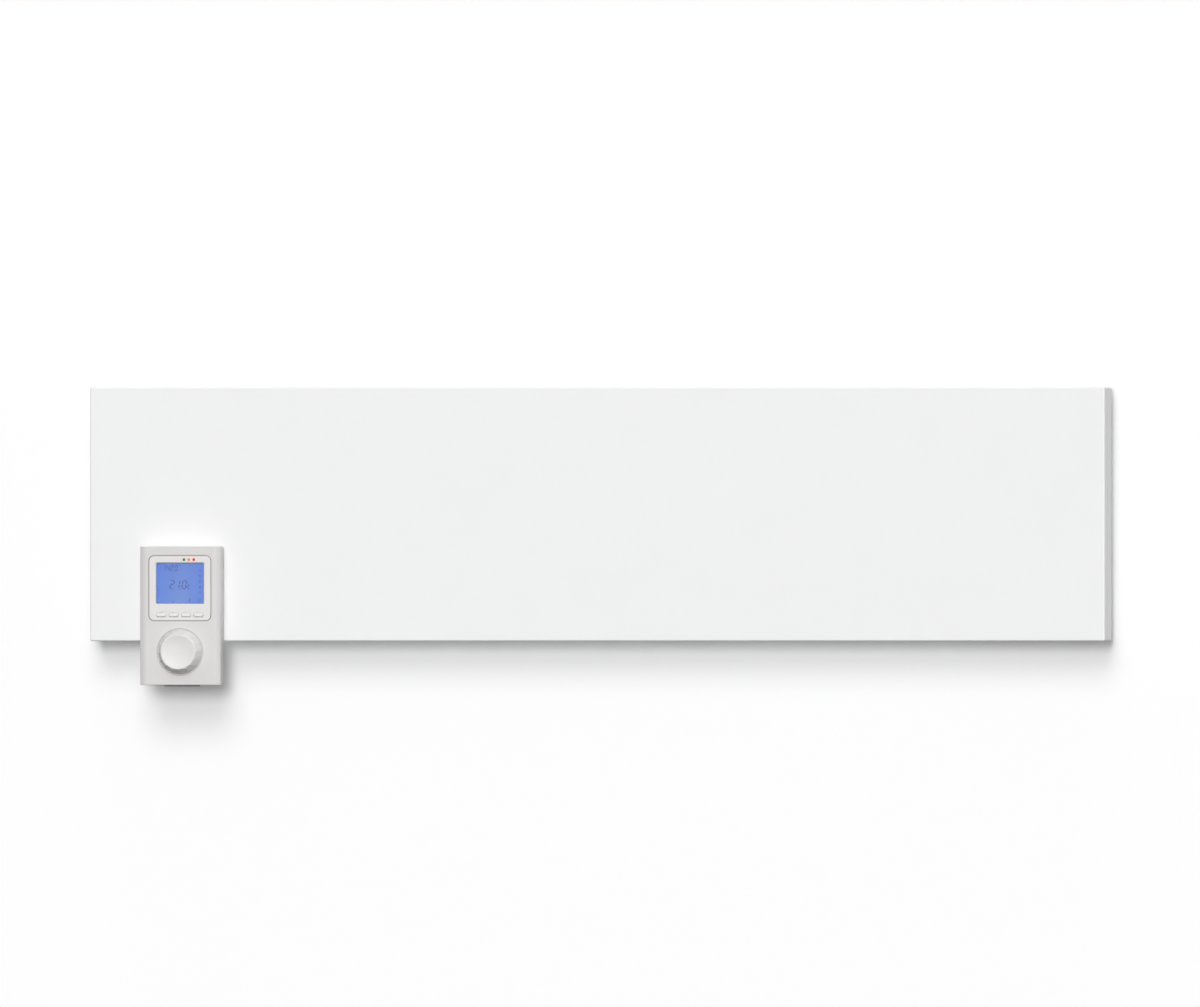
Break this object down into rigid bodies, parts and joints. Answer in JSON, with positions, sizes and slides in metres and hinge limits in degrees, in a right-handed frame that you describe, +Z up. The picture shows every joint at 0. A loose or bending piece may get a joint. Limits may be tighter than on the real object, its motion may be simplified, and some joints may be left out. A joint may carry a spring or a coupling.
{
  "type": "infrared panel heater",
  "caption": "Slim flat wall-mounted infrared panel heater with hook-on wall brackets and a room controller with lit display, keys and dial knob on its lower left corner.",
  "frame": {"origin": "middle of the four wall screws of the brackets, on the wall's face", "axes": "+X along the panel to the right seen from the room, +Y into the wall, +Z up"},
  "size_m": [1.2, 0.0994, 0.3477],
  "materials": {
    "white_enamel": "fine matt powder coat",
    "galvanised_sheet": "galvanised",
    "zinc_steel": "zinc plated",
    "heating_laminate": "laminated film",
    "track_foil": "etched foil",
    "bright_foil": "bright foil",
    "mineral_board": "pressed mineral fibre",
    "brass": "bright",
    "dark_plastic": "moulded",
    "box_plastic": "moulded",
    "grey_plastic": "moulded",
    "black_rubber": "matt",
    "brown_lead": "insulated wire",
    "blue_lead": "insulated wire",
    "earth_lead": "insulated wire",
    "board_green": "solder mask",
    "chip_black": "moulded",
    "relay_blue": "moulded",
    "controller_white": "satin moulded",
    "insert_white": "satin moulded",
    "knob_white": "satin moulded",
    "plate_white": "moulded",
    "foam_tape": "foam",
    "clear_window": "clear",
    "lcd_blue": "lit display",
    "diffuser": "light guide",
    "light_green": "light pipe",
    "light_amber": "light pipe",
    "light_red": "light pipe",
    "cell_jacket": "jacketed cell"
  },
  "bodies": {
    "wall_mount": {"wall_bracket_left": "galvanised_sheet", "wall_bracket_right": "galvanised_sheet"},
    "panel": {"front_panel": "white_enamel", "rear_cover": "galvanised_sheet", "cover_screws": "zinc_steel", "heating_film": "heating_laminate", "heater_track": "track_foil", "film_terminals": "brass", "reflector_foil": "bright_foil", "insulation_board": "mineral_board", "pressure_bars": "galvanised_sheet", "overheat_limiter": "dark_plastic", "live_lead": "brown_lead", "neutral_lead": "blue_lead", "limiter_lead": "brown_lead", "earth_lead": "earth_lead", "earth_stud": "brass", "junction_box": "box_plastic", "box_lid": "box_plastic", "box_lid_screws": "zinc_steel", "terminal_block": "grey_plastic", "terminal_screws": "zinc_steel", "receiver_board": "board_green", "power_relay": "relay_blue", "cable_gland": "grey_plastic", "gland_nut": "grey_plastic", "gland_seal": "black_rubber", "lead_grommet": "black_rubber", "hanger_left": "galvanised_sheet", "hanger_right": "galvanised_sheet", "hanger_screws": "zinc_steel", "rubber_spacers": "black_rubber", "adhesive_pads": "foam_tape", "wall_plate": "plate_white"},
    "controller": {"rear_housing": "controller_white", "front_housing": "controller_white", "display_insert": "insert_white", "display_window": "clear_window", "lcd_cell": "lcd_blue", "backlight_plate": "diffuser", "green_light": "light_green", "amber_light": "light_amber", "red_light": "light_red", "main_board": "board_green", "board_parts": "chip_black", "key_switches": "dark_plastic", "rotary_encoder": "zinc_steel", "encoder_nut": "zinc_steel", "room_sensor": "chip_black", "battery_cells": "cell_jacket", "battery_contacts": "zinc_steel", "housing_screws": "zinc_steel"},
    "knob": {"dial_knob": "knob_white", "knob_shaft": "zinc_steel"},
    "key_one": {"key_1": "knob_white"},
    "key_two": {"key_2": "knob_white"},
    "key_three": {"key_3": "knob_white"},
    "key_four": {"key_4": "knob_white"},
    "release": {"release_tab": "controller_white"}
  },
  "joints": [
    {"name": "panel_lift_off", "type": "slide", "parent": "wall_mount", "child": "panel", "axis": [0, 0, 1], "range_m": [0, 0.01]},
    {"name": "controller_tilt_off", "type": "hinge", "parent": "panel", "child": "controller", "pos_m": [-0.489, -0.0668, -0.0516], "axis": [-1, 0, 0], "range_deg": [0, 10]},
    {"name": "knob_turn", "type": "hinge", "parent": "controller", "child": "knob", "pos_m": [-0.489, -0.09, -0.16], "axis": [0, -1, 0], "continuous": true},
    {"name": "release_press", "type": "slide", "parent": "controller", "child": "release", "axis": [0, 0, 1], "range_m": [0, 0.0012], "stiffness_N_per_m": 500},
    {"name": "key_1_press", "type": "slide", "parent": "controller", "child": "key_one", "axis": [0, 1, 0], "range_m": [0, 0.001], "stiffness_N_per_m": 600},
    {"name": "key_2_press", "type": "slide", "parent": "controller", "child": "key_two", "axis": [0, 1, 0], "range_m": [0, 0.001], "stiffness_N_per_m": 600},
    {"name": "key_3_press", "type": "slide", "parent": "controller", "child": "key_three", "axis": [0, 1, 0], "range_m": [0, 0.001], "stiffness_N_per_m": 600},
    {"name": "key_4_press", "type": "slide", "parent": "controller", "child": "key_four", "axis": [0, 1, 0], "range_m": [0, 0.001], "stiffness_N_per_m": 600}
  ]
}
